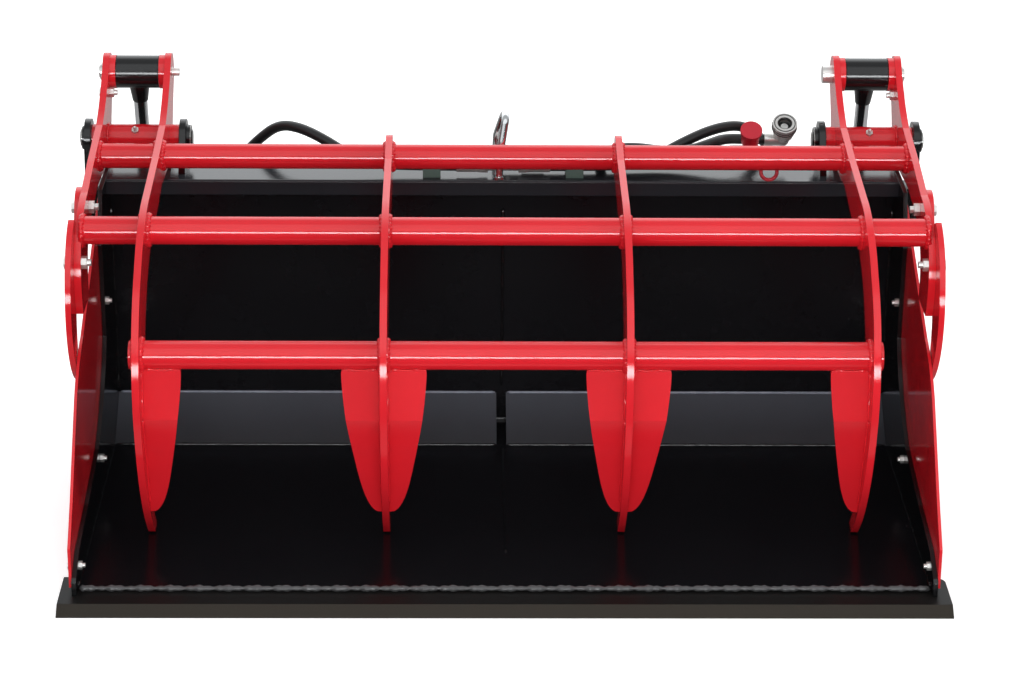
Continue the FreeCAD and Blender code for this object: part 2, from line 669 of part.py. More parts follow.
def make_cylinder_feet():
    """Pairs of lugs behind the back wall that carry the foot pins of the cylinders."""
    radius, thick = size("lug_radius"), size("lug_thick")
    outline = [(wall_back, 120), (wall_back + 60, 120), on_circle(foot, radius, -70),
               (on_circle(foot, radius, 10), on_circle(foot, radius, 90)), (wall_back, 340)]
    pins = []
    for name, side in SIDES.items():
        at = cylinder_centre
        gap = size("foot_eye_wide") / 2 + size("side_fit")
        lugs = []
        for tag, inner in (("near", at - gap - thick), ("far", at + gap)):
            lugs.append(profile_body(f"cylinder_lug_{tag}_{name}", outline, "Sizes.lug_thick",
                                     start_of(side, f"{inner}", "Sizes.lug_thick"),
                                     [(foot, "Sizes.foot_pin")]))
        plate = doc.addObject("Part::Box", f"cylinder_foot_plate_{name}")
        wide = 2 * gap
        plate.Length, plate.Width, plate.Height = wide, 10, 200
        x_from = at - gap if side == RIGHT else -at - gap
        plate.Placement = Placement(Vector(x_from, wall_back, 130), Rotation())
        keep(joined(f"cylinder_foot_{name}", lugs + [plate]), f"cylinder_foot_{name}")
        x_near, x_far = at - gap - thick, at + gap + thick
        pin = rod_x(size("foot_pin") / 2, x_near - 8, x_far + 8, *foot)
        pin = pin.multiFuse([rod_x(18, x_near - 8, x_near, *foot), rod_x(18, x_far, x_far + 6, *foot)])
        if side == LEFT:
            pin = pin.mirror(Vector(0, 0, 0), Vector(1, 0, 0))
        pins.append(pin)
    keep(feature("foot_pins", Part.makeCompound(pins)), "foot_pins")


def make_hitch():
    """Two hook plates for the loader's cross bar, with lock bores below, tied by a tube."""
    hook, lock = (size("hook_back"), size("hook_up")), (size("lock_back"), size("lock_up"))
    radius = size("hook_bar") / 2
    reach = radius + 24
    waist = size("waist_back")
    outline = [
        (wall_back, 40), (lock[0] + 20, 52), (lock[0] + 38, 90), (lock[0] + 38, 160),
        (waist, size("waist_low")), (waist, size("waist_high")), on_circle(hook, reach, -60),
        (on_circle(hook, reach, -20), on_circle(hook, reach, 20)),
        (hook[0] + radius, hook[1] + 18), (hook[0] + radius, hook[1]),
        ((hook[0], hook[1] - radius), (hook[0] - radius, hook[1])),
        (hook[0] - radius, hook[1] + 40), (hook[0] - radius - 24, hook[1] + 44), (wall_back, 446)]
    for name, side in SIDES.items():
        start = start_of(side, "Sizes.hitch_half - Sizes.hitch_thick / 2", "Sizes.hitch_thick")
        label = f"hitch_plate_{name}"
        keep(profile_body(label, outline, "Sizes.hitch_thick", start,
                          [(lock, "Sizes.lock_bore")]), label)
    inner = "(Sizes.hitch_half - Sizes.hitch_thick / 2)"
    tie = round_tube("hitch_tie_tube", "Sizes.middle_tube", f"Sizes.middle_tube - {2 * size('tube_wall')}",
                     f"2 * {inner}", f"-{inner}", "Sizes.wall_face + 42", "Sizes.foot_up")
    keep(tie, "hitch_tie_tube")


def make_hose_ring():
    """Bent rod that straddles the hoses at the middle of the beam."""
    top = size("beam_top")
    far_leg = wall_back + size("ring_rod") / 2 + 0.3
    points = [Vector(-8, 703, top + 1), Vector(-4, 706, top + 60), Vector(4, 722, top + 108),
              Vector(2, 752, top + 110), Vector(-12, far_leg, top + 62), Vector(-14, far_leg, top - 40)]
    rod = swept(points, size("ring_rod") / 2, [60, 14, 15, 30])
    foot_ring = Part.makeCylinder(size("ring_rod") / 2 + 4, 5, Vector(-8, 703, top))
    keep(feature("hose_ring", rod.fuse(foot_ring)), "hose_ring")


def swing_radii(points):
    """Bend radii of a hose: 0.45 of the shorter run over the tangent of half the turn."""
    radii = []
    for before, corner, after in zip(points, points[1:], points[2:]):
        way_in, way_out = corner - before, after - corner
        shorter = min(way_in.Length, way_out.Length)
        radii.append(0.45 * shorter / math.tan(way_in.getAngle(way_out) / 2))
    return radii


def make_hose(node, points):
    """A hose as straight runs joined by tangent arcs, its volume compared with its length."""
    route = [Vector(*point) for point in points]
    radii = swing_radii(route)
    radius = size("hose_outer") / 2
    hose = swept(route, radius, radii)
    lengths = sum((after - before).Length for before, after in zip(route, route[1:]))
    for before, corner, after, bend in zip(route, route[1:], route[2:], radii):
        turn = (corner - before).getAngle(after - corner)
        lengths += bend * turn - 2 * bend * math.tan(turn / 2)
    ratio = hose.Volume / (math.pi * radius ** 2 * lengths)
    assert 0.995 < ratio < 1.005, f"{node} is not a whole tube"
    print(f"{node}: {lengths:.0f} mm long, bend radii {[round(value) for value in radii]}")
    keep(feature(node, hose), node)


def mirrored(points):
    """The same route on the other side of the centre plane."""
    return [(-x, y, z) for x, y, z in points]


def hose_level():
    """Height of the hose centres on the top beam."""
    return size("beam_top") + size("hose_lift")


def make_hoses():
    """Four cylinder hoses and two supply hoses, each route chosen by hand."""
    low_port, high_port = port_distances()
    line, level = size("front_line"), hose_level()
    start = size("tee_reach")
    high_port = port_end(RIGHT, high_port)
    low_port = port_end(RIGHT, low_port)
    away = (start, line, level), (192, line, level), (262, 727, 553)
    port_run = tuple(high_port - Vector(54, 0, 0)), tuple(high_port)
    make_hose("rod_side_hose_right", [
        *away, (330, 766, 580), (392, 806, 594), (446, 841, 589), (486, 868, 553), (514, 892, 508),
        *port_run])
    make_hose("rod_side_hose_left", mirrored([
        *away, (322, 766, 580), (372, 806, 592), (414, 841, 586), (452, 868, 550), (488, 892, 506),
        *port_run]))
    low, back = size("low_tee_up"), size("low_line")
    tee = size("low_tee_place")
    outward = [(378, 797, low - 20), (430, 815, 418), (472, 846, 376), (506, 892, 336),
               tuple(low_port - Vector(58, 0, 0)), tuple(low_port)]
    make_hose("foot_side_hose_right", [
        (tee + 55, back, low), (tee + 98, back, low), (326, 786, low - 2)] + outward)
    make_hose("foot_side_hose_left", [
        (tee - 55, back, low), (tee - 120, back, low), (0, 786, low + 2), (-64, 784, low + 4),
        (-128, 786, low + 3), (-192, 789, low + 2), (-256, 788, low + 2), (-318, 790, low - 3)]
        + mirrored(outward))
    rear, ferrule = size("rear_line"), Vector(34, 0, 0)
    capped_end, open_end = male_seat() - ferrule, female_seat() - ferrule
    capped_from, capped_run, open_from, open_run = 178, 239, 190, 292
    capped_share = (capped_end.x - capped_from) / capped_run
    open_share = (open_end.x - open_from) / open_run
    make_hose("supply_hose_capped", [
        (75, rear, level), (capped_from, rear, level), (capped_from + 60 * capped_share, 752, 546),
        (capped_from + 120 * capped_share, 754, 545.5), (capped_from + 172 * capped_share, 765, 554),
        tuple(capped_end - Vector(26, 0, 0)), tuple(capped_end)])
    make_hose("supply_hose_open", [
        (tee, back, low + 45), (tee, back, low + 70), (open_from, 771, 562),
        (open_from + 44 * open_share, 746, 577), (open_from + 96 * open_share, 718, 579),
        (open_from + 148 * open_share, 724, 577), (open_from + 192 * open_share, 752, 583),
        (open_from + 218 * open_share, 781, 582), tuple(open_end - Vector(27, 0, 0)), tuple(open_end)])


coupling_way = Vector(0, -math.cos(math.radians(55)), math.sin(math.radians(55)))


def female_seat():
    """Elbow centre behind the open coupling."""
    return Vector(size("female_place"), 798, 575)


def male_seat():
    """Elbow centre behind the capped coupling."""
    return Vector(size("male_place"), 766, 562)


def elbow_and_ferrule(seat, radius):
    """Turned elbow from a coupling to the hose that comes in from the middle."""
    ball = Part.makeSphere(radius + 1, seat)
    ferrule = Part.makeCylinder(radius, 34, seat - Vector(34, 0, 0), Vector(1, 0, 0))
    return ball.fuse(ferrule)


def turned(seat, steps):
    """Turned body along a coupling's axis from steps of distance, radius."""
    solids = []
    for (start, radius), (end, _) in zip(steps, steps[1:]):
        solids.append(Part.makeCylinder(radius, end - start, seat + coupling_way * start, coupling_way))
    return solids[0].multiFuse(solids[1:])


def make_couplings():
    """Open quick coupling, capped quick coupling and the cap with its strap ring."""
    radius = size("ferrule_outer") / 2
    outer = size("coupling_outer") / 2
    seat = female_seat()
    body = turned(seat, [(6, 13), (16, 18), (26, outer - 2), (32, outer - 4), (36, outer), (50, outer)])
    socket = Part.makeCylinder(13.5, 20, seat + coupling_way * 34, coupling_way)
    valve = Part.makeCylinder(7.5, 8, seat + coupling_way * 32, coupling_way)
    female = body.cut(socket).fuse(valve).fuse(elbow_and_ferrule(seat, radius))
    keep(feature("open_coupling", female), "open_coupling")
    seat = male_seat()
    male = turned(seat, [(6, 13), (33, 10), (58, 10)]).fuse(elbow_and_ferrule(seat, radius))
    keep(feature("capped_coupling", male), "capped_coupling")
    cap = turned(seat, [(33.4, 16.5), (60, size("cap_outer") / 2), (66, size("cap_outer") / 2)])
    cap = cap.cut(Part.makeCylinder(10.2, 26, seat + coupling_way * 33, coupling_way))
    keep(feature("dust_cap", cap), "dust_cap")


def make_tees():
    """Two tee pieces with their nuts and ferrules: one on the beam, one behind the wall."""
    level, radius = hose_level(), size("ferrule_outer") / 2
    front, rear = size("front_line"), size("rear_line")
    reach = size("tee_reach")
    top = [rod_x(9, -44, 44, front, level), rod_x(radius, 44, reach, front, level),
           rod_x(radius, -reach, -44, front, level), hexagon_x(22, 16, 28, front, level),
           hexagon_x(22, 16, -44, front, level),
           Part.makeCylinder(8, rear - front, Vector(8, front, level), Vector(0, 1, 0)),
           rod_x(9, -4, 34, rear, level), rod_x(radius, 34, 75, rear, level)]
    at, back, low = size("low_tee_place"), size("low_line"), size("low_tee_up")
    bottom = [rod_x(9, at - 30, at + 30, back, low), rod_x(radius, at + 20, at + 55, back, low),
              rod_x(radius, at - 55, at - 20, back, low),
              Part.makeCylinder(8, 30, Vector(at, back, low)),
              Part.makeCylinder(radius, 29, Vector(at, back, low + 16)),
              Part.makeBox(26, back - wall_back, 22, Vector(at - 13, wall_back, low - 11))]
    tees = [top[0].multiFuse(top[1:]), bottom[0].multiFuse(bottom[1:])]
    keep(feature("hose_tees", Part.makeCompound(tees)), "hose_tees")


def make_hose_clamps():
    """Clamp blocks on the beam, one hose wide on the left and two on the right."""
    level, hose = hose_level(), size("hose_outer") / 2
    front, rear, place = size("front_line"), size("rear_line"), size("clamp_place")
    blocks = []
    for side, last in ((LEFT, front), (RIGHT, rear)):
        deep = last - front + 26
        box = Part.makeBox(32, deep, level + hose + 3 - size("beam_top"),
                           Vector(side * place - 16, front - 16, size("beam_top")))
        for line in {front, last}:
            box = box.cut(rod_x(hose, side * place - 20, side * place + 20, line, level))
        blocks.append(box)
    keep(feature("hose_clamps", Part.makeCompound(blocks)), "hose_clamps")


def main():
    """Build every piece, check it and write it."""
    make_cutting_edge()
    make_shell()
    make_corner_sheets()
    make_top_beam()
    make_skids()
    make_side_plates()
    make_side_panels()
    make_panel_bolts()
    make_ears()
    make_tines()
    make_lever_plates()
    make_crescents()
    make_crescent_bolts()
    make_cross_tubes()
    make_wings()
    make_pivots()
    make_top_pins()
    make_cylinders()
    make_cylinder_feet()
    make_hitch()
    make_hose_ring()
    make_tees()
    make_hose_clamps()
    make_couplings()
    make_hoses()
    doc.recompute()
    broken = [item.Label for item in doc.Objects
              if "Invalid" in item.State or "Error" in item.State]
    assert not broken, f"failed objects: {broken}"
    os.makedirs("parts", exist_ok=True)
    for piece in pieces:
        shape = piece.Shape
        assert not shape.isNull() and shape.isValid(), f"bad shape: {piece.Label}"
        shape.exportStep(f"parts/{piece.Label}.step")
        print(f"{piece.Label}: {len(shape.Solids)} solid, {shape.Volume / 1000:.1f} cm3")


main()
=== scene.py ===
"""Silage grab bucket: looks of the black bucket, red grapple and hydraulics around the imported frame."""

import math

import bmesh
import bpy
from mathutils import Matrix, Vector
from mathutils.geometry import interpolate_bezier


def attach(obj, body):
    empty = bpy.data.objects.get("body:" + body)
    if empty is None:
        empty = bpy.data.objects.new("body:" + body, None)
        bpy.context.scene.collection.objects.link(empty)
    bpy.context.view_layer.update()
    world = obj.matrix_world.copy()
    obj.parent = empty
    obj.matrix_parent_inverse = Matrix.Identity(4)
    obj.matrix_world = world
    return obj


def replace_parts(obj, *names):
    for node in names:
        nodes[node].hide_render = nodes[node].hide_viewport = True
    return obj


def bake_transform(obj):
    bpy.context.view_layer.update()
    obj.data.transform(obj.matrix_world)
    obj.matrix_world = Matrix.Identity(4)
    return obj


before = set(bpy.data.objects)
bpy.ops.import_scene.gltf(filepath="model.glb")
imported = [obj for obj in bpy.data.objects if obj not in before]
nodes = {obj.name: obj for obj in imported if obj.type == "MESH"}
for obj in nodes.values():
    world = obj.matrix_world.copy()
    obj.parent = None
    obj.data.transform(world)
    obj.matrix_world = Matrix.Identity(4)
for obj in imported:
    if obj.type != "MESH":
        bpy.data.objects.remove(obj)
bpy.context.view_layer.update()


# Studio: a pale sheet on the ground in a hall, with soft lamps overhead, beside, in front and behind.
# Mirrored light is kept apart: white behind, a bright doorway low in front, a dim roof, a dark floor ahead.
def node_of(tree, kind, **values):
    """A new node, with its settings and open inputs given by name."""
    made = tree.nodes.new(kind)
    for key, value in values.items():
        if hasattr(made, key):
            setattr(made, key, value)
        else:
            made.inputs[key.replace("_", " ")].default_value = value
    return made


def spread(tree, source, **limits):
    """A value moved from one range to another."""
    step = node_of(tree, "ShaderNodeMapRange", **limits)
    tree.links.new(source, step.inputs["Value"])
    return step.outputs[0]


def ramp_between(tree, source, low, high, start=0.0, end=1.0):
    """A smooth step of a value from start to end between two limits."""
    return spread(tree, source, interpolation_type="SMOOTHSTEP",
                  From_Min=low, From_Max=high, To_Min=start, To_Max=end)


def parts_of(tree, source):
    """The X, Y and Z outputs of a vector."""
    split = tree.nodes.new("ShaderNodeSeparateXYZ")
    tree.links.new(source, split.inputs[0])
    return split.outputs


def combined(tree, operation, first, second):
    """Two values joined by one sum; the second may be a plain number."""
    sum_node = node_of(tree, "ShaderNodeMath", operation=operation)
    tree.links.new(first, sum_node.inputs[0])
    if isinstance(second, (int, float)):
        sum_node.inputs[1].default_value = second
    else:
        tree.links.new(second, sum_node.inputs[1])
    return sum_node.outputs[0]


def studio_floor():
    """The pale sheet, with a shade of its own for the camera, for bounced light and for mirrors."""
    half_width, centre_back, drop = 14, 2, -0.0006
    camera_glow, camera_shade, bounced_shade = 0.5, 0.86, 0.62
    dark_up_to, pale_from, dark_shade, pale_shade = -0.3, -0.05, 0.04, 0.42
    mesh = bmesh.new()
    bmesh.ops.create_grid(mesh, x_segments=1, y_segments=1, size=half_width)
    bmesh.ops.translate(mesh, verts=mesh.verts, vec=(0, centre_back, drop))
    data = bpy.data.meshes.new("studio_floor")
    mesh.to_mesh(data)
    mesh.free()
    floor = bpy.data.objects.new("studio_floor", data)
    bpy.context.scene.collection.objects.link(floor)
    sheet = bpy.data.materials.new("pale_sheet")
    sheet.use_nodes = True
    tree = sheet.node_tree
    shader = tree.nodes["Principled BSDF"]
    shader.inputs["Roughness"].default_value = 0.9
    shader.inputs["Specular IOR Level"].default_value = 0.1
    shader.inputs["Emission Color"].default_value = (1, 1, 1, 1)
    path = tree.nodes.new("ShaderNodeLightPath")
    seen = combined(tree, "MULTIPLY", path.outputs["Is Camera Ray"], camera_glow)
    tree.links.new(seen, shader.inputs["Emission Strength"])
    place = tree.nodes.new("ShaderNodeNewGeometry")
    ahead_of_it = parts_of(tree, place.outputs["Position"])["Y"]
    mirrored_shade = ramp_between(tree, ahead_of_it, dark_up_to, pale_from, dark_shade, pale_shade)
    bounced = node_of(tree, "ShaderNodeMix", B=bounced_shade)
    tree.links.new(path.outputs["Is Diffuse Ray"], bounced.inputs["Factor"])
    tree.links.new(mirrored_shade, bounced.inputs["A"])
    shade = node_of(tree, "ShaderNodeMix", B=camera_shade)
    tree.links.new(path.outputs["Is Camera Ray"], shade.inputs["Factor"])
    tree.links.new(bounced.outputs["Result"], shade.inputs["A"])
    tree.links.new(shade.outputs["Result"], shader.inputs["Base Color"])
    data.materials.append(sheet)


studio_floor()

world = bpy.data.worlds.new("studio_hall")
bpy.context.scene.world = world
world.use_nodes = True
sky = world.node_tree
sky.nodes.clear()
towards = sky.nodes.new("ShaderNodeTexCoord")
axes = parts_of(sky, towards.outputs["Generated"])
aside, ahead, height = (axes[axis] for axis in "XYZ")
door_up = combined(sky, "MULTIPLY", ramp_between(sky, height, -0.03, 0.0),
                   ramp_between(sky, height, 0.17, 0.13))
door_wide = ramp_between(sky, combined(sky, "ABSOLUTE", aside, 0), 0.34, 0.2)
door_front = ramp_between(sky, ahead, -0.5, -0.7)
doorway = combined(sky, "MULTIPLY", combined(sky, "MULTIPLY", door_up, door_wide), door_front)
hall = combined(sky, "MULTIPLY", ramp_between(sky, height, 0.26, 0.36),
                ramp_between(sky, ahead, -0.2, -0.42))
backdrop = ramp_between(sky, ahead, 0.35, 0.75)
roof = ramp_between(sky, height, 0.1, 0.5, 0.06, 0.55)
DOORWAY_STRENGTH, HALL_STRENGTH, BACKDROP_STRENGTH = 18.0, 0.72, 1.3
brightness = combined(sky, "MULTIPLY", doorway, DOORWAY_STRENGTH)
for area, strength in ((hall, HALL_STRENGTH), (backdrop, BACKDROP_STRENGTH)):
    brightness = combined(sky, "ADD", brightness, combined(sky, "MULTIPLY", area, strength))
brightness = combined(sky, "ADD", brightness, roof)
seen_white = node_of(sky, "ShaderNodeBackground", Color=(1, 1, 1, 1), Strength=1.0)
room_light = node_of(sky, "ShaderNodeBackground", Color=(0.97, 0.985, 1, 1), Strength=0.5)
mirrored_light = node_of(sky, "ShaderNodeBackground", Color=(0.95, 0.98, 1, 1))
sky.links.new(brightness, mirrored_light.inputs["Strength"])
ray = sky.nodes.new("ShaderNodeLightPath")
straight = combined(sky, "MAXIMUM", ray.outputs["Is Camera Ray"], ray.outputs["Is Transmission Ray"])
for_gloss = sky.nodes.new("ShaderNodeMixShader")
for_camera = sky.nodes.new("ShaderNodeMixShader")
sky_out = sky.nodes.new("ShaderNodeOutputWorld")
sky.links.new(ray.outputs["Is Glossy Ray"], for_gloss.inputs["Fac"])
sky.links.new(room_light.outputs[0], for_gloss.inputs[1])
sky.links.new(mirrored_light.outputs[0], for_gloss.inputs[2])
sky.links.new(straight, for_camera.inputs["Fac"])
sky.links.new(for_gloss.outputs[0], for_camera.inputs[1])
sky.links.new(seen_white.outputs[0], for_camera.inputs[2])
sky.links.new(for_camera.outputs[0], sky_out.inputs["Surface"])

LAMPS = [
    ("overhead_box", (0.0, -0.6, 3.4), (0.0, 0.35, 0.3), 3.2, 28),
    ("front_box", (0.0, -4.6, 3.2), (0.0, 0.3, 0.3), 2.4, 70),
    ("left_box", (-3.6, -1.0, 1.6), (-0.1, 0.3, 0.3), 1.6, 5),
    ("right_box", (3.6, -1.0, 1.6), (0.1, 0.3, 0.3), 1.6, 38),
    ("floor_card", (0.0, -1.5, 0.1), (0.0, 0.3, 0.35), 1.5, 17),
    ("back_box", (0.0, 3.2, 2.6), (0.0, 0.6, 0.4), 2.4, 60),
]
for name, place, target, width, watts in LAMPS:
    lamp = bpy.data.lights.new(name, "AREA")
    lamp.shape = "SQUARE"
    lamp.size = width
    lamp.energy = watts
    box = bpy.data.objects.new(name, lamp)
    box.location = place
    box.rotation_euler = (Vector(target) - Vector(place)).to_track_quat("-Z", "Y").to_euler()
    box.visible_glossy = False
    bpy.context.scene.collection.objects.link(box)

bpy.context.scene.view_settings.view_transform = "Standard"


# Camera: a long lens in front of the grab and above it, turned a little to the right.
# Its place and turn were worked out from the edge, the beam and the cross tubes.
def set_camera(place, yaw, pitch, roll, focal_pixels, width_pixels=1024, sensor=36):
    """A camera turned right by yaw, down by pitch and tipped by roll."""
    ahead_flat = Vector((math.sin(yaw), math.cos(yaw), 0))
    right = Vector((math.cos(yaw), -math.sin(yaw), 0))
    ahead = ahead_flat * math.cos(pitch) - Vector((0, 0, math.sin(pitch)))
    up = ahead_flat * math.sin(pitch) + Vector((0, 0, math.cos(pitch)))
    tilted_right = right * math.cos(roll) + up * math.sin(roll)
    tilted_up = up * math.cos(roll) - right * math.sin(roll)
    lens = bpy.data.cameras.new("photo_camera")
    lens.sensor_width = sensor
    lens.lens = focal_pixels / width_pixels * sensor
    lens.clip_end = 60
    camera = bpy.data.objects.new("photo_camera", lens)
    turn = Matrix((tilted_right, tilted_up, -ahead)).transposed()
    camera.matrix_world = Matrix.Translation(place) @ turn.to_4x4()
    bpy.context.scene.collection.objects.link(camera)
    bpy.context.scene.camera = camera


set_camera(place=(-0.08, -4.45, 2.34), yaw=math.radians(1.1), pitch=math.radians(22.45),
           roll=math.radians(0.56), focal_pixels=3000)


# Bucket: floor and wall folded from one sheet, side plates, corner sheets, beam, ears, hitch and skids.
# All of it is welded steel under semi-gloss black coats: the shell's is dull, the beam's is greyer,
# and the corner sheets are painted paler as a painted sheen of the overhead light, darker towards the bottom.
def new_material(name):
    """A material with its tree, its shader and the object's own coordinates."""
    material = bpy.data.materials.new(name)
    material.use_nodes = True
    tree = material.node_tree
    where = tree.nodes.new("ShaderNodeTexCoord")
    return material, tree, tree.nodes["Principled BSDF"], where.outputs["Object"]


def noise(tree, where, **values):
    """Cloudy noise over some coordinates."""
    texture = node_of(tree, "ShaderNodeTexNoise", **values)
    tree.links.new(where, texture.inputs["Vector"])
    return texture.outputs["Fac"]


def blended(tree, share, first, second):
    """A colour between two others; each is a plain colour or the output of a node."""
    mix = node_of(tree, "ShaderNodeMix", data_type="RGBA")
    tree.links.new(share, mix.inputs["Factor"])
    for label, colour in (("A", first), ("B", second)):
        if isinstance(colour, tuple):
            mix.inputs[label].default_value = (*colour, 1)
        else:
            tree.links.new(colour, mix.inputs[label])
    return mix.outputs["Result"]


def shaded(colour, share, lift=0.0):
    """A plain colour, darker or lighter by a share."""
    return tuple(channel * share + lift for channel in colour)


def bumpy(tree, shader, bumps, strength, distance, edge_radius):
    """Fine bumps over softened edges; gives back the softened edges' normal."""
    soft = node_of(tree, "ShaderNodeBevel", samples=4, Radius=edge_radius)
    bump = node_of(tree, "ShaderNodeBump", Strength=strength, Distance=distance)
    tree.links.new(bumps, bump.inputs["Height"])
    tree.links.new(soft.outputs[0], bump.inputs["Normal"])
    tree.links.new(bump.outputs[0], shader.inputs["Normal"])
    return soft.outputs[0]


def coat(name, colour, worn_colour, roughness, peel, edge_radius, speck=0.0, shine=0.5):
    """Sprayed coat: orange peel, patchy gloss, softened edges that are a little worn."""
    material, tree, shader, where = new_material(name)
    patches = noise(tree, where, Scale=6.0, Detail=6.0, Roughness=0.62)
    fine = noise(tree, where, Scale=420.0, Detail=2.0)
    scuffs = noise(tree, where, Scale=38.0, Detail=8.0, Roughness=0.75, Distortion=1.2)
    soft = bumpy(tree, shader, fine, peel, 0.0004, edge_radius)
    plain = tree.nodes.new("ShaderNodeNewGeometry")
    turned = node_of(tree, "ShaderNodeVectorMath", operation="DOT_PRODUCT")
    tree.links.new(soft, turned.inputs[0])
    tree.links.new(plain.outputs["Normal"], turned.inputs[1])
    edge = spread(tree, turned.outputs["Value"], From_Min=0.99, From_Max=0.8)
    worn = spread(tree, scuffs, From_Min=0.56, From_Max=0.72)
    sprayed = blended(tree, patches, colour, shaded(colour, 1.25, speck))
    chipped = blended(tree, combined(tree, "MULTIPLY", edge, worn), sprayed, worn_colour)
    tree.links.new(chipped, shader.inputs["Base Color"])
    gloss = spread(tree, patches, To_Min=roughness * 0.8, To_Max=roughness * 1.3)
    tree.links.new(gloss, shader.inputs["Roughness"])
    shader.inputs["Specular IOR Level"].default_value = shine
    return material


def paint(material, *names):
    """Give CAD nodes their finish."""
    for name in names:
        mesh = nodes[name].data
        mesh.materials.clear()
        mesh.materials.append(material)


paint(coat("shell_coat", (0.0038, 0.0036, 0.0046), (0.03, 0.03, 0.03), 0.2, 0.25, 0.0015, 0.0004, shine=0.17),
      "bucket_shell")
paint(coat("beam_coat", (0.015, 0.0165, 0.0205), (0.05, 0.05, 0.05), 0.13, 0.3, 0.0015, 0.002), "top_beam")
BLACK_COAT = coat("black_coat", (0.0022, 0.0023, 0.0028), (0.05, 0.05, 0.05), 0.15, 0.25, 0.0015, 0.001)
paint(BLACK_COAT, "wear_skids", "side_plate_left", "side_plate_right", "inner_ears", "outer_ears",
      "cylinder_foot_left", "cylinder_foot_right", "hitch_plate_left", "hitch_plate_right", "hitch_tie_tube")

# Corner sheets: their pale grey-blue colour is a painted sheen of the light from overhead, and it is painted
# darker towards the bottom.
CORNER_SHEEN_COAT = coat("corner_painted_sheen", (0.062, 0.068, 0.081), (0.06, 0.06, 0.06), 0.2, 0.3, 0.0015, 0.004)
paint(CORNER_SHEEN_COAT, "corner_sheets")
corner_tree = CORNER_SHEEN_COAT.node_tree
corner_colour = corner_tree.nodes["Principled BSDF"].inputs["Base Color"]
corner_height = parts_of(corner_tree, corner_tree.nodes["Texture Coordinate"].outputs["Object"])["Z"]
# The painted sheen is scaled darker towards the bottom of the sheets.
darker_towards_bottom = ramp_between(corner_tree, corner_height, 0.02, 0.09, 0.35, 1.0)
bottom_darkening = node_of(corner_tree, "ShaderNodeVectorMath", operation="SCALE")
corner_tree.links.new(corner_colour.links[0].from_socket, bottom_darkening.inputs[0])
corner_tree.links.new(darker_towards_bottom, bottom_darkening.inputs["Scale"])
corner_tree.links.new(bottom_darkening.outputs[0], corner_colour)


# Cutting edge: a hardened flat bar welded under the floor, with its bevel ground at the front.
# The coat is dull and thin on it, and the bevel, which faces forward, shows browner steel.
EDGE_COAT = coat("edge_coat", (0.004, 0.0038, 0.0036), (0.16, 0.16, 0.155), 0.4, 0.5, 0.002, 0.001,
                 shine=0.12)
BEVEL_STEEL = (0.031, 0.027, 0.022)
paint(EDGE_COAT, "cutting_edge")
edge_tree = EDGE_COAT.node_tree
edge_colour = edge_tree.nodes["Principled BSDF"].inputs["Base Color"]
facing = edge_tree.nodes.new("ShaderNodeNewGeometry")
facing_back = parts_of(edge_tree, facing.outputs["True Normal"])["Y"]
bevel_share = ramp_between(edge_tree, facing_back, -0.15, -0.35)
bevel_tint = blended(edge_tree, bevel_share, edge_colour.links[0].from_socket, BEVEL_STEEL)
edge_tree.links.new(bevel_tint, edge_colour)


# Side panels: red sheets bolted to the outside of the black side plates.
# Grapple: plates, tubes and wings welded together and sprayed in the same red.
RED_COAT = coat("red_coat", (0.60, 0.013, 0.021), (0.34, 0.02, 0.02), 0.11, 0.12, 0.0012)
paint(RED_COAT, "side_panel_left", "side_panel_right", "inner_tine_left", "inner_tine_right",
      "outer_tine_left", "outer_tine_right", "lever_plate_left", "lever_plate_right",
      "crescent_left", "crescent_right", "upper_cross_tube", "middle_cross_tube",
      "lower_cross_tube", "tine_wings", "pivot_bush_left", "pivot_bush_right")


# Fasteners and pipe fittings: zinc plated steel, dull on the flats and a little warm.
# They cover the bolts, pins, grease nipples, tees and couplings.
def metal(name, colour, roughness, streak, bump_strength, metallic=1):
    """Bare or plated metal with fine marks and uneven gloss."""
    material, tree, shader, where = new_material(name)
    shader.inputs["Metallic"].default_value = metallic
    stretch = node_of(tree, "ShaderNodeMapping", Scale=streak)
    tree.links.new(where, stretch.inputs["Vector"])
    marks = noise(tree, stretch.outputs[0], Scale=60.0, Detail=6.0, Roughness=0.65)
    tree.links.new(blended(tree, marks, shaded(colour, 0.8), colour), shader.inputs["Base Color"])
    gloss = spread(tree, marks, To_Min=roughness * 0.7, To_Max=roughness * 1.3)
    tree.links.new(gloss, shader.inputs["Roughness"])
    bumpy(tree, shader, marks, bump_strength, 0.0002, 0.0006)
    return material


ZINC = metal("zinc_plate", (0.82, 0.815, 0.79), 0.3, (1, 1, 1), 0.12, metallic=0.7)
paint(ZINC, "panel_bolts", "pivot_pins", "foot_pins", "hose_tees", "crescent_bolts", "grease_nipples",
      "top_pins", "top_pin_locks", "open_coupling", "capped_coupling")


# Cylinders: black sprayed barrel, gland and rod eye, with a hard chromed rod between them.
# The piston inside is turned iron, wet with oil. The bent ring over the hoses is chromed like the rods.
CYLINDER_COAT = coat("cylinder_coat", (0.005, 0.005, 0.0055), (0.05, 0.05, 0.05), 0.16, 0.15, 0.0015)
CHROME = metal("rod_chrome", (0.78, 0.79, 0.8), 0.12, (1, 1, 12), 0.1)
PISTON_IRON = metal("piston_iron", (0.24, 0.24, 0.24), 0.35, (1, 8, 8), 0.4)
for side in ("left", "right"):
    paint(CYLINDER_COAT, f"barrel_{side}", f"gland_{side}", f"rod_eye_{side}")
    paint(CHROME, f"rod_{side}")
    paint(PISTON_IRON, f"piston_{side}")
paint(CHROME, "hose_ring")


